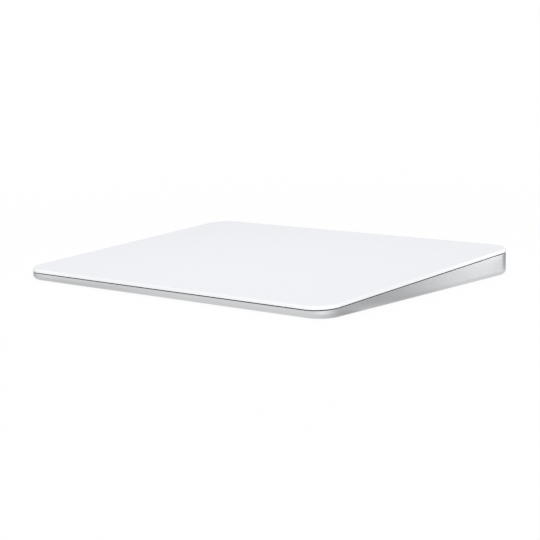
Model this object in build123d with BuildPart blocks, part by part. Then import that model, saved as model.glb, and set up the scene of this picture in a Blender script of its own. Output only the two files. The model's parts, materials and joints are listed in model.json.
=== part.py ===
"""A wireless desk trackpad: a white glass plate on four force flexures in an aluminium wedge.

Millimetres. The origin is on the desk under the middle of the body, +Z is up, -Y is the front edge
that faces the user and +X is the user's right. The glass slopes down towards the front.
"""

from build123d import *
import os
from math import atan2, cos, degrees, sin, tan

os.makedirs("parts", exist_ok=True)

# Body: the outer sizes, and the glass top's height above the desk at the front and the rear edge
width = 160.0
depth = 114.9
front_height = 5.0
rear_height = 10.9
corner_radius = 8.7
desk_gap = 0.4
bottom_round = 1.9
rim_round = 0.12
wall = 1.6
floor_thickness = 0.9

# Glass module, as layers square to the slope, from the top down
glass_thickness = 1.3
glass_edge_round = 0.4
rim_clearance = 0.22
adhesive_thickness = 0.1
sensor_board_thickness = 0.4
stiffener_thickness = 0.5
gel_thickness = 0.35
load_pad_thickness = 0.25
flexure_thickness = 0.4
module_clearance = 0.7

# Travel of what moves
press_travel = 0.15
shift_travel = 0.1
switch_travel = 2.4

# Feet, each over the screw that holds a flexure
foot_inset_x = 14.0
foot_inset_y = 13.0
foot_radius = 6.5
foot_recess = 0.2
foot_fit = 0.1
foot_round = 0.15

# Flexures, from the screw at the base to the load pad at the free end
flexure_length = 24.0
flexure_base_length = 9.0
flexure_width = 8.4
flexure_arm_width = 5.6
load_pad_radius = 3.2
gel_radius = 2.8
gauge_length = 6.0
gauge_width = 3.6
gauge_thickness = 0.1
gauge_place_share = 0.42

# Flexure screws and nut plates
screw_radius = 0.8
screw_fit = 0.05
head_radius = 1.7
head_height = 0.45
head_fit = 0.15
head_drop = 0.05
drive_radius = 0.55
drive_depth = 0.25
nut_length = 4.4
nut_width = 4.0
nut_thickness = 0.35
relief_gap = 0.7

# Chips of the touch controller, placed as shares of the module's width and depth
touch_chip_sides = [9.0, 6.0, 4.0]
touch_chip_place_shares = [(0.16, 0.26), (0.28, 0.26), (0.28, 0.18)]
touch_chip_height = 0.9
window_gap = 0.6

# Haptic engine: an E shaped core that lies on a bracket, and the strike plate that it pulls
engine_length = 24.0
yoke_length = 4.0
tooth_width = 4.0
tooth_gap = 3.0
coil_side = 1.2
coil_over = 0.3
coil_gap = 0.05
coil_length = 12.0
engine_place_share = -0.0375
engine_cell_gap = 3.0
engine_clearance = 0.3
engine_standoff = 0.4
bracket_thickness = 0.3
bracket_margin = 4.5
air_clearance = 0.25
strike_thickness = 3.0
strike_flange_length = 7.0
strike_flange_thickness = 0.6
small_screw_radius = 0.6
small_head_radius = 1.15
small_head_height = 0.3
small_drive_depth = 0.15
standoff_radius = 1.9

# Battery: two flat cells in the thick half of the body
cell_length = 58.0
cell_depth = 32.0
cell_board_gap = 5.0
cell_clearance = 0.75
cell_round = 1.2
cell_corner_round = 2.0
strip_width = 10.0
strip_thickness = 0.15
strip_inset_share = 0.25
protection_length = 24.0
protection_margin = 0.5
protection_thickness = 0.6
lane_gap = 0.8

# Main board, at the middle of the rear wall
board_width = 58.0
board_depth = 13.6
board_thickness = 0.8
board_wall_gap = 1.8
board_screw_inset = 2.6
board_chip_sizes = [(5.0, 5.0), (2.4, 3.0), (2.0, 1.4), (2.4, 2.4)]
board_chip_place_shares = [(0.25, 0.02), (0.37, 0.22), (0.37, -0.1), (-0.12, 0.26)]
chip_height = 0.8
shield_length = 15.0
shield_depth = 8.0
shield_height = 1.3
shield_wall = 0.15
shield_corner = 0.25
shield_place_shares = (-0.3, 0.14)
radio_chip_side = 4.0
antenna_length = 8.0
antenna_depth = 2.2
antenna_height = 0.6
antenna_place_shares = (0.22, 0.38)

# Charging socket, a common small size
socket_width = 8.94
socket_height = 3.26
socket_wall = 0.32
socket_depth = 7.3
socket_inset = 0.15
socket_fit = 0.12
tongue_width = 6.69
tongue_thickness = 0.7
tongue_round = 0.2
tongue_inset = 0.9
socket_back = 1.6

# Power switch
switch_place_share = 0.62
knob_length = 4.2
knob_height = 2.2
knob_inset = 0.12
knob_fit = 0.12
knob_round = 0.6
grip_count = 5
grip_pitch = 0.7
grip_width = 0.25
grip_depth = 0.12
flange_overlap = 0.5
flange_thickness = 0.6
flange_gap = 0.06
indicator_thickness = 0.1
fork_depth = 1.2
fork_wall = 0.7
fork_fit = 0.05
actuator_length = 1.5
actuator_height = 1.1
actuator_root = 1.3
case_length = 8.6
case_depth = 3.0
case_top_wall = 0.7
case_fit = 0.08
case_gap = 0.4
switch_board_length = 16.0
switch_board_thickness = 0.6
switch_screw_inset = 1.7

# Flat cables and their connectors
cable_thickness = 0.15
cable_bend = 0.6
cable_ramp = 2.2
connector_depth = 2.2
connector_height = 0.9
connector_margin = 0.8
sensor_cable_width = 9.0
sensor_cable_clearance = 0.15
sensor_cable_reach = 4.4
sensor_cable_place_share = 0.25
power_cable_width = 3.6
haptic_cable_width = 3.6
switch_cable_width = 2.2
switch_cable_landing = 2.4

# Planes and places that the pieces share
slope = atan2(rear_height - front_height, depth)
mid_height = (front_height + rear_height) / 2
glass_top = Plane(origin=(0, 0, mid_height), x_dir=(1, 0, 0), z_dir=(0, -sin(slope), cos(slope)))
square_to_glass = Axis(glass_top.origin, glass_top.z_dir)
floor_top = desk_gap + floor_thickness
rim_gap = press_travel + rim_clearance
module_gap = shift_travel + module_clearance
inner_width = width - 2 * wall
inner_depth = depth - 2 * wall
inner_radius = corner_radius - wall
inner_rear = inner_depth / 2
module_width = inner_width - 2 * module_gap
module_depth = inner_depth - 2 * module_gap
module_radius = inner_radius - module_gap

# How far each layer's upper face lies under the glass top
adhesive_below = glass_thickness
sensor_below = adhesive_below + adhesive_thickness
stiffener_below = sensor_below + sensor_board_thickness
gel_below = stiffener_below + stiffener_thickness
load_pad_below = gel_below + gel_thickness
flexure_below = load_pad_below + load_pad_thickness
boss_below = flexure_below + flexure_thickness
rim_below = glass_thickness + rim_gap

sides = {"left": -1, "right": 1}
ends = {"front": -1, "rear": 1}
corners = {f"{end}_{side}": (sides[side], ends[end]) for end in ends for side in sides}
base_x = width / 2 - foot_inset_x
base_y = depth / 2 - foot_inset_y
tip_x = base_x - flexure_length
corner_places = [(across * base_x, along * base_y) for across, along in corners.values()]


def height_at(y, below):
    """Height above the desk, at the place y, of the plane that lies that far under the glass top."""
    return mid_height + y * tan(slope) - below / cos(slope)


def keep_layer(below, thickness):
    """Keeps what lies between two planes parallel to the glass, of the piece that is being built."""
    split(bisect_by=glass_top.offset(-below), keep=Keep.BOTTOM)
    split(bisect_by=glass_top.offset(-(below + thickness)), keep=Keep.TOP)


# Glass module
with BuildPart() as touch_glass:
    with BuildSketch():
        RectangleRounded(width, depth, corner_radius)
    extrude(amount=rear_height + glass_thickness)
    keep_layer(0, glass_thickness)
    fillet(touch_glass.faces().sort_by(square_to_glass)[-1].edges(), glass_edge_round)
touch_glass.part.label = "touch_glass"
export_step(touch_glass.part, "parts/touch_glass.step")

with BuildPart() as glass_adhesive:
    with BuildSketch():
        RectangleRounded(module_width, module_depth, module_radius)
    extrude(amount=rear_height)
    keep_layer(adhesive_below, adhesive_thickness)
glass_adhesive.part.label = "glass_adhesive"
export_step(glass_adhesive.part, "parts/glass_adhesive.step")

with BuildPart() as touch_sensor_board:
    with BuildSketch():
        RectangleRounded(module_width, module_depth, module_radius)
    extrude(amount=rear_height)
    keep_layer(sensor_below, sensor_board_thickness)
touch_sensor_board.part.label = "touch_sensor_board"
export_step(touch_sensor_board.part, "parts/touch_sensor_board.step")

# The socket is centred in the rear wall's height, which sets the height of the main board under it
rim_height = height_at(depth / 2, rim_below)
port_height = (desk_gap + rim_height) / 2
board_rear = inner_rear - board_wall_gap
board_front = board_rear - board_depth
board_middle = (board_front + board_rear) / 2
board_top = port_height - socket_height / 2
board_bottom = board_top - board_thickness
board_standoff = board_bottom - floor_top
cable_row = board_front + connector_depth
sensor_cable_x = -sensor_cable_place_share * board_width

# From the rear wall to the front: main board, battery cells, haptic engine
cell_rear = board_front - cell_board_gap
cell_front = cell_rear - cell_depth
cell_middle = (cell_front + cell_rear) / 2
tooth_pitch = tooth_width + tooth_gap
engine_depth = 3 * tooth_width + 2 * tooth_gap
engine_rear = cell_front - engine_cell_gap - bracket_margin
engine_front = engine_rear - engine_depth
engine_middle = (engine_front + engine_rear) / 2
engine_centre_x = engine_place_share * width
bracket_bottom = floor_top + engine_standoff
bracket_top = bracket_bottom + bracket_thickness
coil_bottom = bracket_top + coil_gap
coil_top = height_at(engine_front, gel_below) - press_travel - engine_clearance
core_bottom = coil_bottom + coil_over
core_top = coil_top - coil_over
core_left = engine_centre_x - engine_length / 2
core_right = engine_centre_x + engine_length / 2
air_gap = shift_travel + air_clearance
strike_left = core_right + air_gap
strike_right = strike_left + strike_thickness
flange_right = strike_right + strike_flange_length
strike_screw_x = (strike_right + flange_right) / 2
strike_screw_places = [(strike_screw_x, engine_middle + way * tooth_pitch) for way in sides.values()]
touch_chips = [
    (across_share * module_width, along_share * module_depth, side)
    for (across_share, along_share), side in zip(touch_chip_place_shares, touch_chip_sides)
]

with BuildPart() as stiffener_plate:
    with BuildSketch():
        RectangleRounded(module_width, module_depth, module_radius)
        with Locations(*corner_places):
            Rectangle(nut_length + 2 * relief_gap, nut_width + 2 * relief_gap, mode=Mode.SUBTRACT)
        with Locations((sensor_cable_x, cable_row)):
            Rectangle(
                sensor_cable_width + 2 * (connector_margin + window_gap),
                connector_depth + 2 * window_gap,
                mode=Mode.SUBTRACT,
            )
        for chip_x, chip_y, chip_side in touch_chips:
            with Locations((chip_x, chip_y)):
                Rectangle(chip_side + 2 * window_gap, chip_side + 2 * window_gap, mode=Mode.SUBTRACT)
        with Locations(*strike_screw_places):
            Circle(small_screw_radius, mode=Mode.SUBTRACT)
    extrude(amount=rear_height)
    keep_layer(stiffener_below, stiffener_thickness)
stiffener_plate.part.label = "stiffener_plate"
export_step(stiffener_plate.part, "parts/stiffener_plate.step")

with BuildPart() as touch_controller_chips:
    with BuildSketch():
        for chip_x, chip_y, chip_side in touch_chips:
            with Locations((chip_x, chip_y)):
                Rectangle(chip_side, chip_side)
    extrude(amount=rear_height)
    keep_layer(stiffener_below, touch_chip_height)
touch_controller_chips.part.label = "touch_controller_chips"
export_step(touch_controller_chips.part, "parts/touch_controller_chips.step")

with BuildPart() as sensor_connector:
    with BuildSketch():
        with Locations((sensor_cable_x, cable_row)):
            Rectangle(sensor_cable_width + 2 * connector_margin, connector_depth)
    extrude(amount=rear_height)
    keep_layer(stiffener_below, connector_height)
sensor_connector.part.label = "sensor_connector"
export_step(sensor_connector.part, "parts/sensor_connector.step")

with BuildPart() as strike_plate:
    with BuildSketch(Plane.XY.offset(core_bottom)):
        with Locations(((strike_left + strike_right) / 2, engine_middle)):
            Rectangle(strike_thickness, engine_depth)
    extrude(amount=rear_height)
    split(bisect_by=glass_top.offset(-gel_below), keep=Keep.BOTTOM)
    with BuildPart(mode=Mode.PRIVATE) as strike_flange:
        with BuildSketch():
            with Locations(((strike_right + flange_right) / 2, engine_middle)):
                Rectangle(strike_flange_length, engine_depth)
            with Locations(*strike_screw_places):
                Circle(small_screw_radius, mode=Mode.SUBTRACT)
        extrude(amount=rear_height)
        keep_layer(gel_below, strike_flange_thickness)
    add(strike_flange.part)
strike_plate.part.label = "strike_plate"
export_step(strike_plate.part, "parts/strike_plate.step")

strike_shank_top = stiffener_below
strike_head_below = gel_below + strike_flange_thickness
with BuildPart() as strike_plate_screws:
    with BuildSketch():
        with Locations(*strike_screw_places):
            Circle(small_screw_radius)
    extrude(amount=rear_height)
    keep_layer(strike_shank_top, strike_head_below - strike_shank_top)
    with BuildPart(mode=Mode.PRIVATE) as strike_heads:
        with BuildSketch():
            with Locations(*strike_screw_places):
                Circle(small_head_radius)
        extrude(amount=rear_height)
        keep_layer(strike_head_below, small_head_height)
    add(strike_heads.part)
strike_plate_screws.part.label = "strike_plate_screws"
export_step(strike_plate_screws.part, "parts/strike_plate_screws.step")

# Suspension: gel pads under the module, load pads under them, flexures under those
for name, (across, along) in corners.items():
    tip = (across * tip_x, along * base_y)

    with BuildPart() as gel_pad:
        with BuildSketch():
            with Locations(tip):
                Circle(gel_radius)
        extrude(amount=rear_height)
        keep_layer(gel_below, gel_thickness)
    gel_pad.part.label = f"gel_pad_{name}"
    export_step(gel_pad.part, f"parts/gel_pad_{name}.step")

    with BuildPart() as load_pad:
        with BuildSketch():
            with Locations(tip):
                Circle(load_pad_radius)
        extrude(amount=rear_height)
        keep_layer(load_pad_below, load_pad_thickness)
    load_pad.part.label = f"load_pad_{name}"
    export_step(load_pad.part, f"parts/load_pad_{name}.step")

    with BuildPart() as flexure:
        with BuildSketch():
            with Locations((across * base_x, along * base_y)):
                Rectangle(flexure_base_length, flexure_width)
            with Locations((across * (base_x + tip_x) / 2, along * base_y)):
                Rectangle(flexure_length, flexure_arm_width)
            with Locations(tip):
                Circle(flexure_width / 2)
            with Locations((across * base_x, along * base_y)):
                Circle(screw_radius + screw_fit, mode=Mode.SUBTRACT)
        extrude(amount=rear_height)
        keep_layer(flexure_below, flexure_thickness)
    flexure.part.label = f"flexure_{name}"
    export_step(flexure.part, f"parts/flexure_{name}.step")

    with BuildPart() as strain_gauge:
        with BuildSketch():
            with Locations((across * (base_x - gauge_place_share * flexure_length), along * base_y)):
                Rectangle(gauge_length, gauge_width)
        extrude(amount=rear_height)
        keep_layer(boss_below, gauge_thickness)
    strain_gauge.part.label = f"strain_gauge_{name}"
    export_step(strain_gauge.part, f"parts/strain_gauge_{name}.step")

    with BuildPart() as foot:
        with BuildSketch():
            with Locations((across * base_x, along * base_y)):
                Circle(foot_radius)
        extrude(amount=desk_gap + foot_recess)
        fillet(foot.faces().sort_by(Axis.Z)[0].edges(), foot_round)
    foot.part.label = f"foot_{name}"
    export_step(foot.part, f"parts/foot_{name}.step")

# The flexure screws' heads sit in counterbores that the feet cover. The rear bosses are taller, and
# their counterbores deeper, so that all four screws are the same.
front_seat = desk_gap + foot_recess + head_drop + head_height
seat_wall = height_at(-base_y, boss_below) - front_seat


def seat_height(along):
    """Height of the face that a flexure screw's head pulls against."""
    return height_at(along * base_y, boss_below) - seat_wall


with BuildPart() as flexure_screws:
    for across, along in corners.values():
        seat = seat_height(along)
        with BuildSketch(Plane.XY.offset(seat - head_height)):
            with Locations((across * base_x, along * base_y)):
                Circle(head_radius)
        extrude(amount=head_height)
        with BuildSketch(Plane.XY.offset(seat)):
            with Locations((across * base_x, along * base_y)):
                Circle(screw_radius)
        extrude(amount=seat_wall + flexure_thickness + nut_thickness)
        with BuildSketch(Plane.XY.offset(seat - head_height)):
            with Locations((across * base_x, along * base_y)):
                RegularPolygon(drive_radius, 6)
        extrude(amount=drive_depth, mode=Mode.SUBTRACT)
flexure_screws.part.label = "flexure_screws"
export_step(flexure_screws.part, "parts/flexure_screws.step")

with BuildPart() as flexure_nuts:
    with BuildSketch():
        with Locations(*corner_places):
            Rectangle(nut_length, nut_width)
            Circle(screw_radius + screw_fit, mode=Mode.SUBTRACT)
    extrude(amount=rear_height)
    keep_layer(flexure_below - nut_thickness, nut_thickness)
flexure_nuts.part.label = "flexure_nuts"
export_step(flexure_nuts.part, "parts/flexure_nuts.step")

# Places that the enclosure shares with what is screwed into it
boss_length = flexure_base_length - 2 * screw_fit
bracket_length = engine_length + air_gap + strike_thickness + 2 * bracket_margin
bracket_depth = engine_depth + 2 * bracket_margin
bracket_middle = core_left - bracket_margin + bracket_length / 2
bracket_screw_x = bracket_length / 2 - bracket_margin / 2
bracket_screw_y = bracket_depth / 2 - bracket_margin / 2
bracket_places = [
    (bracket_middle + across * bracket_screw_x, engine_middle + along * bracket_screw_y)
    for across, along in corners.values()
]
board_screw_x = board_width / 2 - board_screw_inset
board_screw_y = board_front + board_screw_inset
board_places = [(way * board_screw_x, board_screw_y) for way in sides.values()]
switch_x = switch_place_share * inner_width / 2
slot_length = knob_length + switch_travel + 2 * knob_fit
slot_height = knob_height + 2 * knob_fit
flange_front = inner_rear - flange_gap - flange_thickness
case_rear = flange_front - fork_depth - case_gap
case_front = case_rear - case_depth
switch_board_rear = case_rear + case_gap
switch_board_front = case_front - case_gap - switch_cable_width
switch_board_top = board_bottom + switch_board_thickness
switch_screw_x = switch_board_length / 2 - switch_screw_inset
switch_middle = (case_front + case_rear) / 2
switch_places = [(switch_x + way * switch_screw_x, switch_middle) for way in sides.values()]

with BuildPart() as bosses:
    for across, along in corners.values():
        with BuildSketch(Plane.XY.offset(desk_gap)):
            with Locations((across * base_x, along * base_y)):
                Rectangle(boss_length, flexure_width)
        extrude(amount=rear_height)
    split(bisect_by=glass_top.offset(-boss_below), keep=Keep.BOTTOM)

with BuildPart() as enclosure:
    with BuildSketch(Plane.XY.offset(desk_gap)):
        RectangleRounded(width, depth, corner_radius)
    extrude(amount=rear_height)
    split(bisect_by=glass_top.offset(-rim_below), keep=Keep.BOTTOM)
    fillet(enclosure.faces().sort_by(square_to_glass)[-1].edges(), rim_round)
    fillet(enclosure.faces().sort_by(Axis.Z)[0].edges(), bottom_round)
    with BuildSketch(Plane.XY.offset(floor_top)):
        RectangleRounded(inner_width, inner_depth, inner_radius)
    extrude(amount=rear_height, mode=Mode.SUBTRACT)
    add(bosses.part)
    with BuildSketch(Plane.XY.offset(desk_gap)):
        with Locations(*corner_places):
            Circle(foot_radius + foot_fit)
    extrude(amount=foot_recess, mode=Mode.SUBTRACT)
    for across, along in corners.values():
        with BuildSketch(Plane.XY.offset(desk_gap)):
            with Locations((across * base_x, along * base_y)):
                Circle(head_radius + head_fit)
        extrude(amount=seat_height(along) - desk_gap, mode=Mode.SUBTRACT)
        with BuildSketch(Plane.XY.offset(desk_gap)):
            with Locations((across * base_x, along * base_y)):
                Circle(screw_radius + screw_fit)
        extrude(amount=rear_height, mode=Mode.SUBTRACT)
    with BuildSketch(Plane.XY.offset(floor_top)):
        with Locations(*bracket_places):
            Circle(standoff_radius)
    extrude(amount=engine_standoff)
    with BuildSketch(Plane.XY.offset(floor_top)):
        with Locations(*board_places, *switch_places):
            Circle(standoff_radius)
    extrude(amount=board_standoff)
    with BuildSketch(Plane.XY.offset(floor_top)):
        with Locations(*bracket_places, *board_places, *switch_places):
            Circle(small_screw_radius)
    extrude(amount=board_standoff, mode=Mode.SUBTRACT)
    with BuildSketch(Plane.XZ.offset(-depth / 2)):
        with Locations((0, port_height)):
            SlotOverall(socket_width + 2 * socket_fit, socket_height + 2 * socket_fit)
        with Locations((switch_x, port_height)):
            RectangleRounded(slot_length, slot_height, knob_round + knob_fit)
    extrude(amount=wall, mode=Mode.SUBTRACT)
enclosure.part.label = "enclosure"
export_step(enclosure.part, "parts/enclosure.step")

# Haptic engine
with BuildPart() as haptic_bracket:
    with BuildSketch(Plane.XY.offset(bracket_bottom)):
        with Locations((bracket_middle, engine_middle)):
            RectangleRounded(bracket_length, bracket_depth, standoff_radius)
        with Locations(*bracket_places):
            Circle(small_screw_radius + screw_fit, mode=Mode.SUBTRACT)
    extrude(amount=bracket_thickness)
    with BuildSketch(Plane.XY.offset(bracket_top)):
        with Locations((core_left + yoke_length / 2, engine_middle)):
            Rectangle(yoke_length, engine_depth)
        with Locations((core_right - yoke_length / 2, engine_middle)):
            Rectangle(yoke_length / 2, engine_depth)
    extrude(amount=core_bottom - bracket_top)
haptic_bracket.part.label = "haptic_bracket"
export_step(haptic_bracket.part, "parts/haptic_bracket.step")

with BuildPart() as haptic_core:
    with BuildSketch(Plane.XY.offset(core_bottom)):
        with Locations((engine_centre_x, engine_middle)):
            Rectangle(engine_length, engine_depth)
        with Locations((engine_centre_x + yoke_length / 2, engine_middle)):
            with GridLocations(0, tooth_pitch, 1, 2):
                Rectangle(engine_length - yoke_length, tooth_gap, mode=Mode.SUBTRACT)
    extrude(amount=core_top - core_bottom)
haptic_core.part.label = "haptic_core"
export_step(haptic_core.part, "parts/haptic_core.step")

with BuildPart() as haptic_coils:
    with BuildSketch(Plane.XY.offset(coil_bottom)):
        with Locations((engine_centre_x + yoke_length / 2, engine_middle)):
            with GridLocations(0, tooth_pitch, 1, 3):
                Rectangle(coil_length, tooth_width + 2 * coil_side)
    extrude(amount=coil_top - coil_bottom)
    fillet(haptic_coils.edges().filter_by(Axis.X), coil_over)
    with BuildSketch(Plane.XY.offset(core_bottom)):
        with Locations((engine_centre_x + yoke_length / 2, engine_middle)):
            with GridLocations(0, tooth_pitch, 1, 3):
                Rectangle(coil_length, tooth_width)
    extrude(amount=core_top - core_bottom, mode=Mode.SUBTRACT)
haptic_coils.part.label = "haptic_coils"
export_step(haptic_coils.part, "parts/haptic_coils.step")


def standoff_screws(places, seat, length):
    """Small pan head screws that stand at these places, with their heads on the seat."""
    with BuildPart() as screws:
        with BuildSketch(Plane.XY.offset(seat - length)):
            with Locations(*places):
                Circle(small_screw_radius)
        extrude(amount=length)
        with BuildSketch(Plane.XY.offset(seat)):
            with Locations(*places):
                Circle(small_head_radius)
        extrude(amount=small_head_height)
        with BuildSketch(Plane.XY.offset(seat + small_head_height)):
            with Locations(*places):
                RegularPolygon(drive_radius, 6)
        extrude(amount=-small_drive_depth, mode=Mode.SUBTRACT)
    return screws


haptic_screws = standoff_screws(bracket_places, bracket_top, bracket_thickness + engine_standoff)
haptic_screws.part.label = "haptic_screws"
export_step(haptic_screws.part, "parts/haptic_screws.step")

# Battery, with a lane between the cells for the battery lead and one for the haptic cable
cell_bottom = floor_top + strip_thickness
cell_top = height_at(cell_front, gel_below) - press_travel - cell_clearance
strip_y = cell_depth * strip_inset_share
lane_widths = {
    "left": power_cable_width + 2 * connector_margin + lane_gap,
    "right": haptic_cable_width + 2 * connector_margin + lane_gap,
}
power_cable_x = -lane_widths["left"] / 2
haptic_cable_x = lane_widths["right"] / 2
cell_xs = {name: across * (lane_widths[name] + cell_length / 2) for name, across in sides.items()}

for name, cell_x in cell_xs.items():
    with BuildPart() as battery_cell:
        with BuildSketch(Plane.XY.offset(cell_bottom)):
            with Locations((cell_x, cell_middle)):
                RectangleRounded(cell_length, cell_depth, cell_corner_round)
        extrude(amount=cell_top - cell_bottom)
        fillet(battery_cell.faces().sort_by(Axis.Z)[-1].edges(), cell_round)
    battery_cell.part.label = f"battery_cell_{name}"
    export_step(battery_cell.part, f"parts/battery_cell_{name}.step")

with BuildPart() as battery_adhesive:
    with BuildSketch(Plane.XY.offset(floor_top)):
        for cell_x in cell_xs.values():
            with Locations((cell_x, cell_middle - strip_y), (cell_x, cell_middle + strip_y)):
                Rectangle(cell_length - 2 * cell_corner_round, strip_width)
    extrude(amount=strip_thickness)
battery_adhesive.part.label = "battery_adhesive"
export_step(battery_adhesive.part, "parts/battery_adhesive.step")

with BuildPart() as battery_protection_board:
    with BuildSketch(Plane.XY.offset(floor_top)):
        with Locations((power_cable_x, cell_middle)):
            Rectangle(power_cable_width + 2 * protection_margin, protection_length)
    extrude(amount=protection_thickness)
battery_protection_board.part.label = "battery_protection_board"
export_step(battery_protection_board.part, "parts/battery_protection_board.step")

# Main board and what is on it
with BuildPart() as main_board:
    with BuildSketch(Plane.XY.offset(board_bottom)):
        with Locations((0, board_middle)):
            Rectangle(board_width, board_depth)
        with Locations(*board_places):
            Circle(small_screw_radius + screw_fit, mode=Mode.SUBTRACT)
    extrude(amount=board_thickness)
main_board.part.label = "main_board"
export_step(main_board.part, "parts/main_board.step")

main_board_screws = standoff_screws(board_places, board_top, board_thickness + board_standoff)
main_board_screws.part.label = "main_board_screws"
export_step(main_board_screws.part, "parts/main_board_screws.step")

with BuildPart() as board_chips:
    with BuildSketch(Plane.XY.offset(board_top)):
        for (across_share, along_share), chip_sides in zip(board_chip_place_shares, board_chip_sizes):
            with Locations((across_share * board_width, board_middle + along_share * board_depth)):
                Rectangle(*chip_sides)
    extrude(amount=chip_height)
board_chips.part.label = "board_chips"
export_step(board_chips.part, "parts/board_chips.step")

shield_x = shield_place_shares[0] * board_width
shield_y = board_middle + shield_place_shares[1] * board_depth
with BuildPart() as shield_can:
    with BuildSketch(Plane.XY.offset(board_top)):
        with Locations((shield_x, shield_y)):
            RectangleRounded(shield_length, shield_depth, shield_corner)
    extrude(amount=shield_height)
    with BuildSketch(Plane.XY.offset(board_top)):
        with Locations((shield_x, shield_y)):
            Rectangle(shield_length - 2 * shield_wall, shield_depth - 2 * shield_wall)
    extrude(amount=shield_height - shield_wall, mode=Mode.SUBTRACT)
shield_can.part.label = "shield_can"
export_step(shield_can.part, "parts/shield_can.step")

with BuildPart() as radio_chip:
    with BuildSketch(Plane.XY.offset(board_top)):
        with Locations((shield_x, shield_y)):
            Rectangle(radio_chip_side, radio_chip_side)
    extrude(amount=chip_height)
radio_chip.part.label = "radio_chip"
export_step(radio_chip.part, "parts/radio_chip.step")

antenna_x = antenna_place_shares[0] * board_width
antenna_y = board_middle + antenna_place_shares[1] * board_depth
with BuildPart() as antenna:
    with BuildSketch(Plane.XY.offset(board_top)):
        with Locations((antenna_x, antenna_y)):
            Rectangle(antenna_length, antenna_depth)
    extrude(amount=antenna_height)
antenna.part.label = "antenna"
export_step(antenna.part, "parts/antenna.step")

# Charging socket
socket_mouth = depth / 2 - socket_inset
socket_end = socket_mouth - socket_depth
hollow_width = socket_width - 2 * socket_wall
hollow_height = socket_height - 2 * socket_wall
with BuildPart() as charging_socket_shell:
    with BuildSketch(Plane.XZ.offset(-socket_mouth)):
        with Locations((0, port_height)):
            SlotOverall(socket_width, socket_height)
            SlotOverall(hollow_width, hollow_height, mode=Mode.SUBTRACT)
    extrude(amount=socket_depth)
charging_socket_shell.part.label = "charging_socket_shell"
export_step(charging_socket_shell.part, "parts/charging_socket_shell.step")

with BuildPart() as charging_socket_tongue:
    with BuildSketch(Plane.XZ.offset(-socket_end)):
        with Locations((0, port_height)):
            SlotOverall(hollow_width, hollow_height)
    extrude(amount=-socket_back)
    with BuildSketch(Plane.XZ.offset(-socket_end)):
        with Locations((0, port_height)):
            RectangleRounded(tongue_width, tongue_thickness, tongue_round)
    extrude(amount=-(socket_depth - tongue_inset))
charging_socket_tongue.part.label = "charging_socket_tongue"
export_step(charging_socket_tongue.part, "parts/charging_socket_tongue.step")

# Power switch, at rest in its off place, which is the end of the slot nearer to the socket
knob_x = switch_x - switch_travel / 2
knob_rear = depth / 2 - knob_inset
flange_length = slot_length + switch_travel + 2 * flange_overlap
flange_height = slot_height + 2 * flange_overlap
flange_rear = flange_front + flange_thickness
fork_hole_length = actuator_length + 2 * fork_fit
fork_hole_height = actuator_height + 2 * fork_fit
# The green strip's two ends from the knob's middle. The slot uncovers it in the knob's on place.
indicator_left = -(knob_length / 2 + switch_travel + 2 * knob_fit)
indicator_right = -(knob_length / 2 + 2 * knob_fit)
indicator_length = indicator_right - indicator_left
indicator_x = knob_x + (indicator_left + indicator_right) / 2
with BuildPart() as power_switch_knob:
    with BuildSketch(Plane.XZ.offset(-knob_rear)):
        with Locations((knob_x, port_height)):
            RectangleRounded(knob_length, knob_height, knob_round)
    extrude(amount=knob_rear - flange_rear)
    with BuildSketch(Plane.XZ.offset(-knob_rear)):
        with Locations((knob_x, port_height)):
            with GridLocations(grip_pitch, 0, grip_count, 1):
                Rectangle(grip_width, knob_height - 2 * knob_round)
    extrude(amount=grip_depth, mode=Mode.SUBTRACT)
    with BuildSketch(Plane.XZ.offset(-flange_rear)):
        with Locations((knob_x, port_height)):
            Rectangle(flange_length, flange_height)
    extrude(amount=flange_thickness)
    with BuildSketch(Plane.XZ.offset(-flange_front)):
        with Locations((knob_x, port_height)):
            Rectangle(fork_hole_length + 2 * fork_wall, fork_hole_height + 2 * fork_wall)
            Rectangle(fork_hole_length, fork_hole_height, mode=Mode.SUBTRACT)
    extrude(amount=fork_depth)
    with BuildSketch(Plane.XZ.offset(-flange_rear)):
        with Locations((indicator_x, port_height)):
            Rectangle(indicator_length, slot_height)
    extrude(amount=indicator_thickness, mode=Mode.SUBTRACT)
power_switch_knob.part.label = "power_switch_knob"
export_step(power_switch_knob.part, "parts/power_switch_knob.step")

with BuildPart() as switch_indicator:
    with BuildSketch(Plane.XZ.offset(-flange_rear)):
        with Locations((indicator_x, port_height)):
            Rectangle(indicator_length, slot_height)
    extrude(amount=indicator_thickness)
switch_indicator.part.label = "switch_indicator"
export_step(switch_indicator.part, "parts/switch_indicator.step")

actuator_rear = flange_front - fork_fit
actuator_front = case_rear - actuator_root
with BuildPart() as slide_switch_actuator:
    with BuildSketch(Plane.XZ.offset(-actuator_rear)):
        with Locations((knob_x, port_height)):
            Rectangle(actuator_length, actuator_height)
    extrude(amount=actuator_rear - actuator_front)
slide_switch_actuator.part.label = "slide_switch_actuator"
export_step(slide_switch_actuator.part, "parts/slide_switch_actuator.step")

case_height = port_height + actuator_height / 2 + case_fit + case_top_wall - switch_board_top
with BuildPart() as slide_switch_case:
    with BuildSketch(Plane.XY.offset(switch_board_top)):
        with Locations((switch_x, switch_middle)):
            Rectangle(case_length, case_depth)
    extrude(amount=case_height)
    with BuildSketch(Plane.XZ.offset(-case_rear)):
        with Locations((switch_x, port_height)):
            Rectangle(actuator_length + switch_travel + 2 * case_fit, actuator_height + 2 * case_fit)
    extrude(amount=actuator_root + case_fit, mode=Mode.SUBTRACT)
slide_switch_case.part.label = "slide_switch_case"
export_step(slide_switch_case.part, "parts/slide_switch_case.step")

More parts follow.
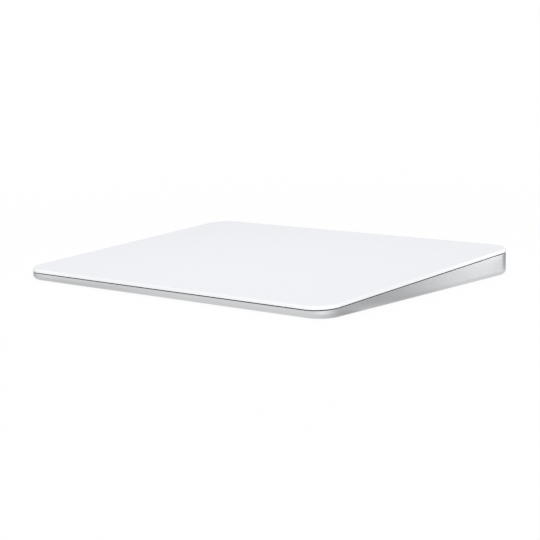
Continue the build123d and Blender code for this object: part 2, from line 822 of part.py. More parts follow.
with BuildPart() as switch_board:
    with BuildSketch(Plane.XY.offset(board_bottom)):
        with Locations((switch_x, (switch_board_front + switch_board_rear) / 2)):
            Rectangle(switch_board_length, switch_board_rear - switch_board_front)
        with Locations(*switch_places):
            Circle(small_screw_radius + screw_fit, mode=Mode.SUBTRACT)
    extrude(amount=switch_board_thickness)
switch_board.part.label = "switch_board"
export_step(switch_board.part, "parts/switch_board.step")

switch_screw_length = switch_board_thickness + board_standoff
switch_board_screws = standoff_screws(switch_places, switch_board_top, switch_screw_length)
switch_board_screws.part.label = "switch_board_screws"
export_step(switch_board_screws.part, "parts/switch_board_screws.step")

# Flat cables. The one from the sensor board ends just under its connector, so the module can move.
connector_widths = [
    (sensor_cable_x, sensor_cable_width),
    (power_cable_x, power_cable_width),
    (haptic_cable_x, haptic_cable_width),
]
with BuildPart() as board_connectors:
    with BuildSketch(Plane.XY.offset(board_top)):
        for connector_x, cable_width in connector_widths:
            with Locations((connector_x, cable_row)):
                Rectangle(cable_width + 2 * connector_margin, connector_depth)
    extrude(amount=connector_height)
board_connectors.part.label = "board_connectors"
export_step(board_connectors.part, "parts/board_connectors.step")


def flat_cable(plane, points, cable_width):
    """A ribbon of that width, which follows the points on the plane with rounded bends."""
    with BuildPart() as cable:
        with BuildSketch(plane):
            with BuildLine():
                FilletPolyline(*points, radius=cable_bend)
            trace(line_width=cable_thickness)
        extrude(amount=cable_width / 2, both=True)
    return cable


on_connector = board_top + connector_height + cable_thickness / 2
ribbon_end = cable_row + connector_depth / 2
ramp_top = board_front - connector_depth / 2
ramp_foot = ramp_top - cable_ramp
onto_connector = [(ramp_top, on_connector), (ribbon_end, on_connector)]
lead_low = floor_top + protection_thickness + cable_thickness / 2
lead_start = cell_middle + protection_length / 2 - connector_depth
battery_lead = flat_cable(
    Plane.YZ.offset(power_cable_x),
    [(lead_start, lead_low), (ramp_foot, lead_low)] + onto_connector,
    power_cable_width,
)
battery_lead.part.label = "battery_lead"
export_step(battery_lead.part, "parts/battery_lead.step")

haptic_low = floor_top + cable_thickness / 2
haptic_start = engine_rear + bracket_margin + cable_thickness
haptic_cable = flat_cable(
    Plane.YZ.offset(haptic_cable_x),
    [(haptic_start, haptic_low), (ramp_foot, haptic_low)] + onto_connector,
    haptic_cable_width,
)
haptic_cable.part.label = "haptic_cable"
export_step(haptic_cable.part, "parts/haptic_cable.step")

sensor_cable_turn = ribbon_end - sensor_cable_reach
under_connector = height_at(cable_row - connector_depth / 2, stiffener_below + connector_height)
sensor_cable_top = under_connector - press_travel - sensor_cable_clearance - cable_thickness / 2
sensor_cable = flat_cable(
    Plane.YZ.offset(sensor_cable_x),
    [
        (ribbon_end, on_connector),
        (sensor_cable_turn, on_connector),
        (sensor_cable_turn, sensor_cable_top),
        (ribbon_end, sensor_cable_top),
    ],
    sensor_cable_width,
)
sensor_cable.part.label = "sensor_cable"
export_step(sensor_cable.part, "parts/sensor_cable.step")

switch_cable_low = switch_board_top + cable_thickness / 2
switch_cable_high = board_top + cable_thickness / 2
gap_left = board_width / 2
gap_right = switch_x - switch_board_length / 2
switch_cable_middle = (gap_left + gap_right) / 2
switch_cable = flat_cable(
    Plane.XZ.offset(-(switch_board_front + switch_cable_width / 2)),
    [
        (gap_right + switch_cable_landing, switch_cable_low),
        (switch_cable_middle + cable_ramp, switch_cable_low),
        (switch_cable_middle - cable_ramp, switch_cable_high),
        (gap_left - switch_cable_landing, switch_cable_high),
    ],
    switch_cable_width,
)
switch_cable.part.label = "switch_cable"
export_step(switch_cable.part, "parts/switch_cable.step")

print("slope in degrees", round(degrees(slope), 3))
print("core height", round(core_top - core_bottom, 3), "cell height", round(cell_top - cell_bottom, 3))
print("flexure screw wall", round(seat_wall, 3), "port height", round(port_height, 3))
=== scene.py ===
"""The looks of a wireless desk trackpad: satin white glass on a bead blasted aluminium wedge.

Metres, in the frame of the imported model: +Z is up, -Y is the thin front edge and +X is to the right.
"""

import json
from math import cos, pi, radians, sin

import bmesh
import bpy
from mathutils import Matrix, Vector


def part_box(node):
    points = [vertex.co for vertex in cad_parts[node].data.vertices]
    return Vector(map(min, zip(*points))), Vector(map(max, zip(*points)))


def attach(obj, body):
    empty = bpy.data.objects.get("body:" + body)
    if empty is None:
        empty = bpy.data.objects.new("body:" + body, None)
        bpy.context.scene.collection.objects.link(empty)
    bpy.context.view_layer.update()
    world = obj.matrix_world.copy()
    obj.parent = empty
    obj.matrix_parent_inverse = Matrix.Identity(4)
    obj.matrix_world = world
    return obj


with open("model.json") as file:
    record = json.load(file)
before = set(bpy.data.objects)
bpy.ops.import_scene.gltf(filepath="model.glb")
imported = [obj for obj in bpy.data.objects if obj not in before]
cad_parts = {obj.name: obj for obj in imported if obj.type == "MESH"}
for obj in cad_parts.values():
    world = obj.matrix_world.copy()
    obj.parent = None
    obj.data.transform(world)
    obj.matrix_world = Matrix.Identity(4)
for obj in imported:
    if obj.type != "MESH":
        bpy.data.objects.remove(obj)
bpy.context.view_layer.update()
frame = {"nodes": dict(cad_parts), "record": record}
nodes = frame["nodes"]
mm = 0.001
origin = (0.0, 0.0, 0.0)

# Ranges that the patterns are moved from or to
whole = (0.0, 1.0)
falling = (1.0, 0.0)
mid_tones = (0.3, 0.7)

# How far apart the bands of a wave texture of scale 1 lie
wave_pitch = pi / 10

# Where a mix node has its sockets for colours: the amount and both colours, and the result
mix_inputs = (0, 6, 7)
mix_output = 2


# Node helpers
class Look:
    """A material with a Principled shader, and short calls for the nodes that feed it."""

    refraction = 1.5
    coat_roughness = 0.1

    def __init__(self, name, color, metallic=0.0, roughness=0.5, coat=0.0):
        self.material = bpy.data.materials.new(name)
        self.material.use_nodes = True
        self.tree = self.material.node_tree
        self.shader = self.tree.nodes["Principled BSDF"]
        self.set("Base Color", (*color, 1.0))
        self.set("Metallic", metallic)
        self.set("Roughness", roughness)
        self.set("IOR", self.refraction)
        self.set("Coat Weight", coat)
        self.set("Coat Roughness", self.coat_roughness)
        self.place = self.node("ShaderNodeTexCoord").outputs["Object"]

    def node(self, kind, **values):
        made = self.tree.nodes.new(kind)
        for key, value in values.items():
            setattr(made, key, value)
        return made

    def link(self, source, target):
        self.tree.links.new(source, target)

    def set(self, socket, value):
        self.shader.inputs[socket].default_value = value

    def feed(self, target, value):
        """Gives an input a socket to follow, a colour or a number."""
        if isinstance(value, bpy.types.NodeSocket):
            self.link(value, target)
        elif isinstance(value, tuple):
            target.default_value = (*value, 1.0)
        else:
            target.default_value = value

    def noise(self, size, detail=3.0, roughness=0.55, place=None):
        """Noise whose blobs are about that many metres across."""
        made = self.node("ShaderNodeTexNoise")
        made.inputs["Scale"].default_value = 1.0 / size
        made.inputs["Detail"].default_value = detail
        made.inputs["Roughness"].default_value = roughness
        self.link(place or self.place, made.inputs["Vector"])
        return made.outputs["Fac"]

    def stretched(self, x=1.0, y=1.0):
        """The place, squeezed by those amounts, so that a pattern in it runs long along an axis."""
        made = self.node("ShaderNodeMapping")
        made.inputs["Scale"].default_value = (x, y, 1.0)
        self.link(self.place, made.inputs["Vector"])
        return made.outputs["Vector"]

    def bands(self, pitch, direction, wobble=0.0):
        """Soft bands that far apart, from 0 to 1, one after another along an axis."""
        made = self.node("ShaderNodeTexWave", bands_direction=direction)
        made.inputs["Scale"].default_value = wave_pitch / pitch
        made.inputs["Distortion"].default_value = wobble
        self.link(self.place, made.inputs["Vector"])
        return made.outputs["Fac"]

    def cells(self, size, output, metric="EUCLIDEAN"):
        """Cells of about that size: the distance from their points, or a random colour for each."""
        made = self.node("ShaderNodeTexVoronoi", distance=metric)
        made.inputs["Scale"].default_value = 1.0 / size
        self.link(self.place, made.inputs["Vector"])
        return made.outputs[output]

    def facing(self, axis):
        """How far the surface faces along an axis, from -1 to 1."""
        return self.apart(self.node("ShaderNodeNewGeometry").outputs["Normal"], axis)

    def remap(self, source, to_range, from_range=mid_tones, kind="LINEAR"):
        """A value moved from one range to another, and held at the ends."""
        made = self.node("ShaderNodeMapRange", interpolation_type=kind)
        made.inputs["From Min"].default_value, made.inputs["From Max"].default_value = from_range
        made.inputs["To Min"].default_value, made.inputs["To Max"].default_value = to_range
        self.link(source, made.inputs["Value"])
        return made.outputs["Result"]

    def mix(self, amount, first, second):
        """Two colours or values, mixed by a socket or a number."""
        made = self.node("ShaderNodeMix", data_type="RGBA")
        for index, value in zip(mix_inputs, (amount, first, second)):
            self.feed(made.inputs[index], value)
        return made.outputs[mix_output]

    def math(self, operation, first, second=0.0):
        made = self.node("ShaderNodeMath", operation=operation)
        self.feed(made.inputs[0], first)
        self.feed(made.inputs[1], second)
        return made.outputs[0]

    def distance(self, point):
        """How far a point of the surface lies from that point."""
        made = self.node("ShaderNodeVectorMath", operation="DISTANCE")
        made.inputs[1].default_value = point
        self.link(self.place, made.inputs[0])
        return made.outputs["Value"]

    def apart(self, vector, axis):
        """One of the three numbers of a vector or a colour."""
        made = self.node("ShaderNodeSeparateXYZ")
        self.link(vector, made.inputs[0])
        return made.outputs[axis]

    def bump(self, height, strength, distance):
        """Raises the surface where the height is large, or sinks it where the distance is below zero."""
        made = self.node("ShaderNodeBump")
        made.inputs["Strength"].default_value = strength
        made.inputs["Distance"].default_value = distance
        self.link(height, made.inputs["Height"])
        self.link(made.outputs["Normal"], self.shader.inputs["Normal"])

    def color(self, source):
        self.link(source, self.shader.inputs["Base Color"])

    def rough(self, source):
        self.link(source, self.shader.inputs["Roughness"])


def shade(color, amount):
    return tuple(channel * amount for channel in color)


# Finishes, one for each slot of the record
def etched_glass(name, color):
    """White glass: a satin etched top with faint traces of use, and a polished side."""
    side_color = (0.9, 0.91, 0.93)
    top_roughness = 0.34
    side_roughness = 0.2
    top_facing = (0.55, 0.95)
    trace_size = 14 * mm
    trace_roughness = (-0.012, 0.012)
    etch_size = 0.09 * mm
    look = Look(name, color, roughness=top_roughness)
    upward = look.remap(look.facing("Z"), whole, top_facing)
    # The upward faces are painted 2% paler than the glass colour, a painted brightening of the lit top.
    look.color(look.mix(upward, side_color, shade(color, 1.02)))
    traces = look.remap(look.noise(trace_size, detail=4.0, place=look.stretched(y=0.6)), trace_roughness)
    look.rough(look.math("ADD", look.remap(upward, (side_roughness, top_roughness), whole), traces))
    look.bump(look.noise(etch_size, detail=2.0), strength=0.05, distance=0.004 * mm)
    return look.material


def blasted_metal(name, color):
    """Bead blasted aluminium outside, and the paths of the milling cutter on the faces inside."""
    cloud_size = 12 * mm
    grain_size = 0.16 * mm
    cloud_share = (0.0, 0.4)
    grain_share = (0.0, 0.6)
    cutter_step = 3.2 * mm
    cutter_feed = 0.25 * mm
    both_bands = (0.0, 2.0)
    floor_facing = (0.9, 0.99)
    blasted_roughness = (0.38, 0.46)
    milled_roughness = (0.26, 0.34)
    look = Look(name, color, metallic=1.0)
    cloud = look.noise(cloud_size, detail=2.0)
    grain = look.noise(grain_size, detail=2.0, roughness=0.7)
    mottle = look.math("ADD", look.remap(cloud, cloud_share), look.remap(grain, grain_share))
    look.color(look.mix(mottle, shade(color, 0.97), shade(color, 1.03)))
    steps = look.bands(cutter_step, "Y", wobble=0.4)
    cutter = look.math("ADD", steps, look.bands(cutter_feed, "X", wobble=1.0))
    inside = look.remap(look.facing("Z"), whole, floor_facing)
    blasted = look.remap(grain, blasted_roughness)
    milled = look.remap(cutter, milled_roughness, both_bands)
    look.rough(look.mix(inside, blasted, milled))
    look.bump(look.mix(inside, grain, cutter), strength=0.3, distance=0.02 * mm)
    return look.material


def knob_metal(name, color):
    """The body's metal with a finer grain, rubbed a little smoother along its slide."""
    grain_size = 0.1 * mm
    rub_size = 0.2 * mm
    sum_of_tones = (0.7, 1.3)
    roughness = (0.3, 0.42)
    look = Look(name, color, metallic=1.0)
    grain = look.noise(grain_size, detail=2.0)
    rubbed = look.noise(rub_size, place=look.stretched(x=0.08))
    look.color(look.mix(look.remap(rubbed, whole), shade(color, 0.97), shade(color, 1.04)))
    look.rough(look.remap(look.math("ADD", grain, rubbed), roughness, sum_of_tones))
    look.bump(grain, strength=0.16, distance=0.012 * mm)
    return look.material


def foot_rubber(name, color):
    """Fine grained rubber, with a little dust where it rests."""
    dust_size = 1.6 * mm
    dust_tones = (0.5, 0.8)
    dust_share = (0.0, 0.6)
    underside_facing = (-0.98, -0.8)
    grain_size = 0.22 * mm
    grain_distances = (0.0, 0.8)
    roughness = (0.86, 0.68)
    look = Look(name, color, roughness=0.8)
    dust = look.noise(dust_size, detail=6.0, roughness=0.7)
    resting = look.remap(look.facing("Z"), falling, underside_facing)
    dusty = look.math("MULTIPLY", resting, look.remap(dust, dust_share, dust_tones))
    look.color(look.mix(dusty, color, shade(color, 0.86)))
    grain = look.cells(grain_size, "Distance")
    look.rough(look.remap(grain, roughness, grain_distances))
    look.bump(grain, strength=0.35, distance=0.03 * mm)
    return look.material


def plated_steel(name, color):
    """Drawn sheet steel with a bright plating, scratched by plugs."""
    draw_size = 0.12 * mm
    draw_roughness = (0.22, 0.32)
    scratch_size = 0.08 * mm
    scratch_tones = (0.62, 0.7)
    scratch_roughness = (0.0, 0.1)
    look = Look(name, color, metallic=1.0)
    draw = look.noise(draw_size, detail=4.0, place=look.stretched(y=0.04))
    fine = look.noise(scratch_size, detail=3.0, place=look.stretched(y=0.03))
    scratch = look.remap(fine, whole, scratch_tones)
    look.color(look.mix(scratch, color, shade(color, 1.12)))
    drawn = look.remap(draw, draw_roughness)
    look.rough(look.math("ADD", drawn, look.remap(scratch, scratch_roughness, whole)))
    look.bump(draw, strength=0.12, distance=0.006 * mm)
    return look.material


def green_plastic(name, color):
    """Moulded plastic with fine pigment specks."""
    speck_size = 0.12 * mm
    grain_size = 0.06 * mm
    roughness = (0.4, 0.52)
    look = Look(name, color, roughness=0.45)
    specks = look.cells(speck_size, "Color")
    look.color(look.mix(specks, shade(color, 0.9), shade(color, 1.1)))
    grain = look.noise(grain_size)
    look.rough(look.remap(grain, roughness))
    look.bump(grain, strength=0.2, distance=0.006 * mm)
    return look.material


def connector_plastic(name, color):
    """Glass filled plastic: short pale fibres show in the black."""
    fibre_size = 0.05 * mm
    fibre_tones = (0.55, 0.75)
    grain_size = 0.08 * mm
    roughness = (0.42, 0.58)
    look = Look(name, color)
    fibres = look.noise(fibre_size, detail=2.0, place=look.stretched(x=0.12))
    look.color(look.mix(look.remap(fibres, whole, fibre_tones), color, shade(color, 2.2)))
    grain = look.noise(grain_size)
    look.rough(look.remap(grain, roughness))
    look.bump(look.math("ADD", grain, fibres), strength=0.2, distance=0.008 * mm)
    return look.material


def adhesive_film(name, color):
    """Double sided tape: a milky film with small bubbles."""
    bubble_spacing = 0.9 * mm
    bubble_edge = (0.08, 0.16)
    cloud_size = 3.0 * mm
    roughness = (0.5, 0.62)
    look = Look(name, color, roughness=0.55)
    bubbles = look.remap(look.cells(bubble_spacing, "Distance"), falling, bubble_edge)
    cloud = look.noise(cloud_size, detail=4.0)
    milky = look.mix(look.remap(cloud, whole), shade(color, 0.9), color)
    look.color(look.mix(bubbles, milky, shade(color, 0.75)))
    look.rough(look.remap(cloud, roughness))
    look.bump(bubbles, strength=0.25, distance=0.01 * mm)
    return look.material


def circuit_board(name, color):
    """Solder mask over runs of copper tracks, which turn from block to block, and bare plated holes.

    The cut edges show the glass fibre core in a dark grey: partly its own colour, partly painted shade that
    darkens the gap under the glass.
    """
    gold = (0.80, 0.62, 0.30)
    # Core: dark grey, partly the core's own colour and partly painted shade for the gap under the glass
    core = (0.18, 0.182, 0.17)
    block_size = 3.6 * mm
    either_block = (0.49, 0.51)
    track_pitch = 0.5 * mm
    track_edge = (0.55, 0.65)
    flat_facing = (0.5, 0.9)
    hole_spacing = 2.1 * mm
    pad_edge = (0.11, 0.125)
    bore_edge = (0.05, 0.06)
    pad_roughness = (0.0, 0.05)
    weave_size = 0.3 * mm
    weave_roughness = (0.28, 0.4)
    look = Look(name, color)
    blocks = look.apart(look.cells(block_size, "Color", metric="CHEBYCHEV"), "X")
    block = look.remap(blocks, whole, either_block)
    tracks = look.mix(block, look.bands(track_pitch, "X"), look.bands(track_pitch, "Y"))
    copper = look.remap(tracks, whole, track_edge)
    level = look.remap(look.math("ABSOLUTE", look.facing("Z")), whole, flat_facing)
    hole = look.cells(hole_spacing, "Distance")
    pad = look.math("MULTIPLY", level, look.remap(hole, falling, pad_edge))
    # Bore: the middle of each hole, painted near black further down as a painted shade inside the hole, and
    # sunk by the bump.
    bore = look.math("MULTIPLY", level, look.remap(hole, falling, bore_edge))
    masked = look.mix(level, core, look.mix(copper, color, shade(color, 1.8)))
    look.color(look.mix(bore, look.mix(pad, masked, gold), shade(color, 0.2)))
    look.link(pad, look.shader.inputs["Metallic"])
    weave = look.noise(weave_size, detail=3.0)
    woven = look.remap(weave, weave_roughness)
    look.rough(look.math("ADD", woven, look.remap(pad, pad_roughness, whole)))
    raised = look.math("ADD", copper, pad)
    look.bump(look.math("SUBTRACT", raised, bore), strength=0.5, distance=0.03 * mm)
    return look.material


def chip_compound(name, color):
    """Black moulding compound with grey filler specks."""
    filler_size = 0.09 * mm
    filler_tones = (0.7, 1.0)
    grain_size = 0.07 * mm
    roughness = (0.6, 0.78)
    look = Look(name, color)
    filler = look.apart(look.cells(filler_size, "Color"), "Y")
    look.color(look.mix(look.remap(filler, whole, filler_tones), color, shade(color, 1.9)))
    grain = look.noise(grain_size, detail=4.0, roughness=0.7)
    look.rough(look.remap(grain, roughness))
    look.bump(grain, strength=0.35, distance=0.012 * mm)
    return look.material


def rolled_sheet(name, color):
    """Cold rolled stainless sheet, with long fine streaks along X and faint stains."""
    streak_size = 0.07 * mm
    streak_roughness = (0.26, 0.38)
    stain_size = 9 * mm
    stain_roughness = (-0.03, 0.03)
    look = Look(name, color, metallic=1.0)
    streaks = look.noise(streak_size, detail=5.0, place=look.stretched(x=0.015))
    stain = look.noise(stain_size, detail=5.0, roughness=0.6)
    look.color(look.mix(look.remap(stain, whole), shade(color, 0.93), shade(color, 1.05)))
    streaked = look.remap(streaks, streak_roughness)
    look.rough(look.math("ADD", streaked, look.remap(stain, stain_roughness)))
    look.bump(streaks, strength=0.14, distance=0.008 * mm)
    return look.material


def spring_strip(name, color):
    """Hardened spring strip, streaked along Y, with the blue grey tint of tempering."""
    tempered = (0.40, 0.44, 0.52)
    heat_size = 5 * mm
    heat_share = (0.0, 0.7)
    streak_size = 0.05 * mm
    streak_roughness = (0.2, 0.32)
    look = Look(name, color, metallic=1.0)
    streaks = look.noise(streak_size, detail=5.0, place=look.stretched(y=0.02))
    heat = look.noise(heat_size, detail=2.0)
    look.color(look.mix(look.remap(heat, heat_share), color, tempered))
    look.rough(look.remap(streaks, streak_roughness))
    look.bump(streaks, strength=0.12, distance=0.006 * mm)
    return look.material


def turned_steel(name, color):
    """Turned and zinc plated screws: small pits, and crystals of the plating."""
    crystal_size = 0.14 * mm
    crystal_roughness = (0.16, 0.26)
    pit_size = 0.25 * mm
    pit_tones = (0.3, 0.38)
    pit_roughness = (0.0, 0.25)
    look = Look(name, color, metallic=1.0)
    crystals = look.apart(look.cells(crystal_size, "Color"), "Z")
    pits = look.remap(look.noise(pit_size, detail=4.0), falling, pit_tones)
    plating = look.mix(crystals, shade(color, 0.95), shade(color, 1.12))
    look.color(look.mix(pits, plating, shade(color, 0.6)))
    plated = look.remap(crystals, crystal_roughness, whole)
    look.rough(look.math("ADD", plated, look.remap(pits, pit_roughness, whole)))
    look.bump(pits, strength=0.2, distance=-0.01 * mm)
    return look.material


def laminations(name, color):
    """A stack of stamped electrical steel sheets, with dark varnish between them."""
    sheet_pitch = 0.35 * mm
    seam_edge = (0.04, 0.16)
    seam_roughness = (0.0, 0.25)
    stain_size = 1.2 * mm
    stain_roughness = (0.42, 0.56)
    look = Look(name, color, metallic=1.0)
    seam = look.remap(look.bands(sheet_pitch, "Z"), falling, seam_edge)
    stain = look.noise(stain_size, detail=5.0)
    sheet = look.mix(look.remap(stain, whole), shade(color, 0.85), shade(color, 1.2))
    look.color(look.mix(seam, sheet, shade(color, 0.25)))
    stained = look.remap(stain, stain_roughness)
    look.rough(look.math("ADD", stained, look.remap(seam, seam_roughness, whole)))
    look.bump(seam, strength=0.6, distance=-0.04 * mm)
    return look.material


def wound_wire(name, color):
    """Varnished copper wire, wound round each tooth in even turns side by side."""
    wire_pitch = 0.14 * mm
    varnish_size = 0.8 * mm
    roughness = (0.2, 0.36)
    look = Look(name, color, metallic=1.0, coat=0.6)
    turns = look.bands(wire_pitch, "X", wobble=0.15)
    varnish = look.noise(varnish_size, detail=4.0)
    varnished = look.mix(varnish, shade(color, 0.85), shade(color, 1.15))
    # Each turn runs from a painted dark shade where it meets the next turn to bright copper: a painted
    # shading of the round wire.
    look.color(look.mix(turns, shade(color, 0.35), varnished))
    look.rough(look.remap(varnish, roughness))
    look.bump(turns, strength=0.9, distance=0.05 * mm)
    return look.material


def pouch_foil(name, color):
    """Laminated foil round a battery cell, with soft wrinkles and a fine rolled grain."""
    wrinkle_size = 7 * mm
    wrinkle_roughness = (0.3, 0.4)
    rolled_size = 0.1 * mm
    rolled_roughness = (-0.03, 0.03)
    look = Look(name, color, metallic=1.0)
    wrinkles = look.noise(wrinkle_size, detail=3.0, roughness=0.45, place=look.stretched(y=0.35))
    rolled = look.noise(rolled_size, detail=3.0, place=look.stretched(y=0.04))
    look.color(look.mix(look.remap(wrinkles, whole), shade(color, 0.92), shade(color, 1.05)))
    wrinkled = look.remap(wrinkles, wrinkle_roughness)
    look.rough(look.math("ADD", wrinkled, look.remap(rolled, rolled_roughness)))
    look.bump(wrinkles, strength=0.5, distance=0.25 * mm)
    return look.material


def amber_film(name, color, line_pitch):
    """Amber polyimide film over copper lines, which show through as paler raised bands."""
    copper = (0.80, 0.46, 0.20)
    line_edge = (0.42, 0.58)
    line_metal = (0.0, 0.6)
    cloud_size = 1.5 * mm
    roughness = (0.22, 0.34)
    look = Look(name, color, coat=0.4)
    lines = look.remap(look.bands(line_pitch, "X"), whole, line_edge)
    cloud = look.noise(cloud_size, detail=3.0)
    look.color(look.mix(lines, look.mix(cloud, shade(color, 0.8), shade(color, 1.1)), copper))
    look.link(look.remap(lines, line_metal, whole), look.shader.inputs["Metallic"])
    look.rough(look.remap(cloud, roughness))
    look.bump(lines, strength=0.5, distance=0.02 * mm)
    return look.material


def flat_cable(name, color):
    return amber_film(name, color, line_pitch=0.5 * mm)


def gauge_film(name, color):
    return amber_film(name, color, line_pitch=0.22 * mm)


def clear_gel(name, color):
    """Soft silicone gel, cloudy inside, with fine dust on its skin."""
    cloud_size = 0.9 * mm
    roughness = (0.14, 0.3)
    look = Look(name, color)
    look.set("Subsurface Weight", 0.4)
    look.set("Subsurface Radius", (1.2 * mm, 1.2 * mm, 1.0 * mm))
    look.set("Subsurface Scale", 1.0)
    cloud = look.noise(cloud_size, detail=4.0)
    look.color(look.mix(look.remap(cloud, whole), shade(color, 0.92), shade(color, 1.04)))
    look.rough(look.remap(cloud, roughness))
    look.bump(cloud, strength=0.25, distance=0.03 * mm)
    return look.material


def fired_ceramic(name, color):
    """Fired ceramic: off white, with grey grains."""
    grain_size = 0.08 * mm
    grain_tones = (0.75, 1.0)
    grit_size = 0.05 * mm
    roughness = (0.35, 0.5)
    look = Look(name, color)
    grains = look.apart(look.cells(grain_size, "Color"), "X")
    look.color(look.mix(look.remap(grains, whole, grain_tones), color, shade(color, 0.72)))
    grit = look.noise(grit_size, detail=3.0)
    look.rough(look.remap(grit, roughness))
    look.bump(grit, strength=0.25, distance=0.008 * mm)
    return look.material


finishes = {
    "touch_surface": etched_glass,
    "body_metal": blasted_metal,
    "foot_rubber": foot_rubber,
    "socket_steel": plated_steel,
    "switch_metal": knob_metal,
    "indicator_green": green_plastic,
    "connector_plastic": connector_plastic,
    "adhesive": adhesive_film,
    "circuit_board": circuit_board,
    "chip_black": chip_compound,
    "sheet_steel": rolled_sheet,
    "spring_steel": spring_strip,
    "screw_steel": turned_steel,
    "core_steel": laminations,
    "coil_copper": wound_wire,
    "cell_foil": pouch_foil,
    "flat_cable": flat_cable,
    "gel": clear_gel,
    "gauge_film": gauge_film,
    "antenna_ceramic": fired_ceramic,
}
colors = {material["slot"]: tuple(material["base_color"][:3]) for material in frame["record"]["materials"]}
looks = {slot: finish(slot + "_look", colors[slot]) for slot, finish in finishes.items()}

slot_of = {part["node"]: part["material_slot"] for part in frame["record"]["subparts"]}
for name, piece in nodes.items():
    piece.data.materials.clear()
    piece.data.materials.append(looks[slot_of[name]])

# Contacts on both faces of the charging socket's tongue, the ground and power contacts longer than the rest
contact_count = 12
long_contacts = (0, 3, 8, 11)
contact_pitch = 0.5 * mm
contact_width = 0.26 * mm
contact_length = 3.2 * mm
contact_extra = 0.5 * mm
contact_depth = 4.2 * mm
contact_proud = 0.025 * mm
contact_round = 0.02 * mm
tongue_thickness = 0.7 * mm


def plated_gold(name):
    """Gold plated contacts, wiped along Y by plugs."""
    gold = (0.90, 0.66, 0.32)
    wipe_size = 0.05 * mm
    roughness = (0.16, 0.3)
    look = Look(name, gold, metallic=1.0)
    wiped = look.noise(wipe_size, detail=3.0, place=look.stretched(y=0.05))
    look.color(look.mix(look.remap(wiped, whole), shade(gold, 0.9), shade(gold, 1.08)))
    look.rough(look.remap(wiped, roughness))
    look.bump(wiped, strength=0.15, distance=0.004 * mm)
    return look.material


def socket_contacts():
    """All contacts as one piece. Each begins at its depth inside the tongue's open end and runs outwards."""
    low, high = (Vector(corner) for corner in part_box("charging_socket_tongue"))
    middle = (low + high) / 2
    shape = bmesh.new()
    for face in (-1, 1):
        for index in range(contact_count):
            length = contact_length + (contact_extra if index in long_contacts else 0.0)
            x = middle.x + (index - (contact_count - 1) / 2) * contact_pitch
            y = high.y - contact_depth + length / 2
            z = middle.z + face * tongue_thickness / 2
            size = Matrix.Diagonal((contact_width, length, 2 * contact_proud, 1.0))
            bmesh.ops.create_cube(shape, size=1.0, matrix=Matrix.Translation((x, y, z)) @ size)
    bmesh.ops.bevel(
        shape,
        geom=shape.edges[:],
        offset=contact_round,
        segments=2,
        profile=0.5,
        affect="EDGES",
        clamp_overlap=True,
    )
    mesh = bpy.data.meshes.new("socket_contacts")
    shape.to_mesh(mesh)
    shape.free()
    mesh.materials.append(plated_gold("contact_look"))
    piece = bpy.data.objects.new("socket_contacts", mesh)
    bpy.context.scene.collection.objects.link(piece)
    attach(piece, "enclosure")


socket_contacts()

# Camera, at the place that the photograph's outlines give
photo_size = 540
focal_pixels = 1499.324
azimuth = radians(42.693)
elevation = radians(9.406)
roll = radians(-1.932)
distance = 614.805 * mm
aim = Vector((-9.47 * mm, 13.379 * mm, 0.0))
back = Vector((sin(azimuth) * cos(elevation), -cos(azimuth) * cos(elevation), sin(elevation)))
level_right = Vector((cos(azimuth), sin(azimuth), 0.0))
level_up = back.cross(level_right)
right = level_right * cos(roll) + level_up * sin(roll)
up = level_up * cos(roll) - level_right * sin(roll)
camera_turn = Matrix((right, up, back)).transposed().to_4x4()

camera_data = bpy.data.cameras.new("camera")
camera_data.sensor_width = 36.0
camera_data.lens = focal_pixels * camera_data.sensor_width / photo_size
camera_data.clip_start = 0.01
camera_data.clip_end = 20.0
camera = bpy.data.objects.new("camera", camera_data)
camera.matrix_world = Matrix.Translation(aim + back * distance) @ camera_turn
bpy.context.scene.collection.objects.link(camera)
bpy.context.scene.camera = camera

# Floor: white to the camera and in what shines, with a small share near the object that takes its shadow.
# What shines shows it dimmer in five places round the object and in a band behind the rear edge: painted
# shade, seen only in reflections.
# From below it is clear, so that the underside and its feet show.
floor_half = 6.0
floor_color = (0.9, 0.9, 0.9)
white_share = (0.96, 1.0)
share_distances = (0.15, 0.6)
rear_band = (0.068, 0.1)
rear_dimming = (0.0, 0.9)

# Each painted dim place, seen only in reflections, has its middle, its radius and how much it dims in the
# middle
painted_dim_places = (
    ((0.108, -0.014, 0.0), 0.05, 0.73),
    ((-0.05, -0.09, 0.0), 0.07, 0.25),
    ((0.088, 0.083, 0.0), 0.03, 0.97),
    ((-0.1, -0.055, 0.0), 0.03, 0.97),
    ((0.085, -0.044, 0.0), 0.018, 0.5),
)

floor_mesh = bpy.data.meshes.new("floor")
floor_corners = [(x * floor_half, y * floor_half, 0.0) for x, y in ((-1, -1), (1, -1), (1, 1), (-1, 1))]
floor_mesh.from_pydata(floor_corners, [], [(0, 1, 2, 3)])
floor = bpy.data.objects.new("floor", floor_mesh)
bpy.context.scene.collection.objects.link(floor)

floor_look = Look("floor_look", floor_color, roughness=1.0)
floor_look.set("Specular IOR Level", 0.0)
rays = floor_look.node("ShaderNodeLightPath")
shown = floor_look.math("MAXIMUM", rays.outputs["Is Camera Ray"], rays.outputs["Is Glossy Ray"])
shown = floor_look.math("MAXIMUM", shown, rays.outputs["Is Transmission Ray"])
glow_share = floor_look.remap(floor_look.distance(origin), white_share, share_distances)

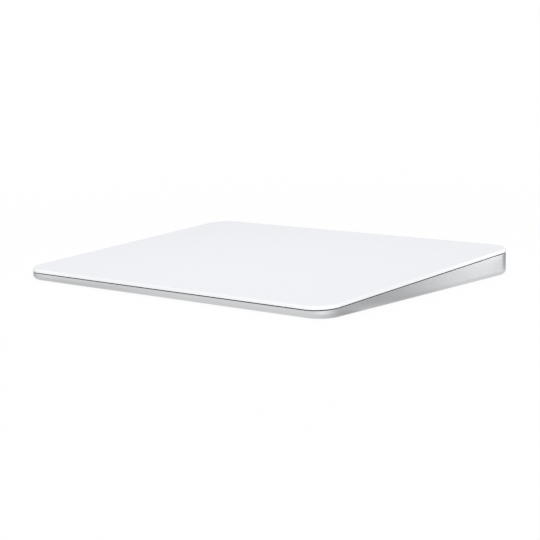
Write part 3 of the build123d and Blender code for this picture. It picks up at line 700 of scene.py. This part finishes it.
rearward = floor_look.apart(floor_look.place, "Y")
dim = floor_look.remap(rearward, rear_dimming, rear_band, kind="SMOOTHSTEP")
for middle, radius, dimming in painted_dim_places:
    away = floor_look.distance(middle)
    spot = floor_look.remap(away, (dimming, 0.0), (0.0, radius), kind="SMOOTHSTEP")
    dim = floor_look.math("MAXIMUM", dim, spot)
glow = floor_look.node("ShaderNodeEmission")
dim_in_shine = floor_look.math("MULTIPLY", dim, rays.outputs["Is Glossy Ray"])
floor_look.link(floor_look.math("SUBTRACT", 1.0, dim_in_shine), glow.inputs["Strength"])
blend = floor_look.node("ShaderNodeMixShader")
floor_look.link(floor_look.math("MULTIPLY", shown, glow_share), blend.inputs[0])
floor_look.link(floor_look.shader.outputs[0], blend.inputs[1])
floor_look.link(glow.outputs[0], blend.inputs[2])
under_floor = floor_look.node("ShaderNodeMixShader")
floor_look.link(floor_look.node("ShaderNodeNewGeometry").outputs["Backfacing"], under_floor.inputs[0])
floor_look.link(blend.outputs[0], under_floor.inputs[1])
floor_look.link(floor_look.node("ShaderNodeBsdfTransparent").outputs[0], under_floor.inputs[2])
floor_look.link(under_floor.outputs[0], floor_look.tree.nodes["Material Output"].inputs["Surface"])
floor_look.material.cycles.emission_sampling = "NONE"
floor_mesh.materials.append(floor_look.material)

# World: an even pale room, white behind the object
room_light = 0.8
white_behind = 1.0
world = bpy.data.worlds.new("world")
world.use_nodes = True
world.cycles.sampling_method = "NONE"
bpy.context.scene.world = world
sky = world.node_tree.nodes["Background"]
sky.inputs["Color"].default_value = (1.0, 1.0, 1.0, 1.0)
sky_rays = world.node_tree.nodes.new("ShaderNodeLightPath")
sky_level = world.node_tree.nodes.new("ShaderNodeMapRange")
sky_level.inputs["To Min"].default_value = room_light
sky_level.inputs["To Max"].default_value = white_behind
world.node_tree.links.new(sky_rays.outputs["Is Camera Ray"], sky_level.inputs["Value"])
world.node_tree.links.new(sky_level.outputs["Result"], sky.inputs["Strength"])


def soft_box(name, place, aim_at, width, power, height=None):
    """An area light that faces a point and that no camera sees, square unless it has a height."""
    data = bpy.data.lights.new(name, "AREA")
    data.shape = "RECTANGLE"
    data.size = width
    data.size_y = height or width
    data.energy = power
    lamp = bpy.data.objects.new(name, data)
    lamp.location = place
    lamp.rotation_mode = "QUATERNION"
    lamp.rotation_quaternion = (Vector(aim_at) - Vector(place)).to_track_quat("-Z", "Y")
    lamp.visible_camera = False
    bpy.context.scene.collection.objects.link(lamp)


# Lamps above and round the object, each with its place, what it faces, its width and its power in watts
soft_box("overhead", (-0.01, -0.03, 0.22), (-0.01, -0.03, 0.0), 0.12, 0.06)
soft_box("right_high", (0.6, 0.0, 0.6), origin, 0.4, 0.76)
soft_box("left_low", (-0.64, -0.64, 0.2), (0.0, -0.057, 0.003), 0.5, 0.61)
soft_box("front_low", (0.0, -0.9, 0.2), origin, 0.5, 0.58)
soft_box("corner_low", (0.52, -0.74, 0.2), origin, 0.5, 0.2)
soft_box("right_low", (0.85, -0.3, 0.2), origin, 0.4, 0.5)

# Small weak lamps close to three corners, for the highlights there
soft_box("rear_card", (0.118, 0.084, 0.012), (0.08, 0.046, 0.005), 0.015, 0.0066)
soft_box("corner_card", (0.13, -0.115, 0.008), (0.077, -0.054, 0.004), 0.05, 0.0055, height=0.012)
soft_box("left_card", (-0.16, -0.12, 0.02), (-0.07, -0.057, 0.003), 0.04, 0.006)

# Colours shown as they are written, through the Standard view transform
bpy.context.scene.view_settings.view_transform = "Standard"
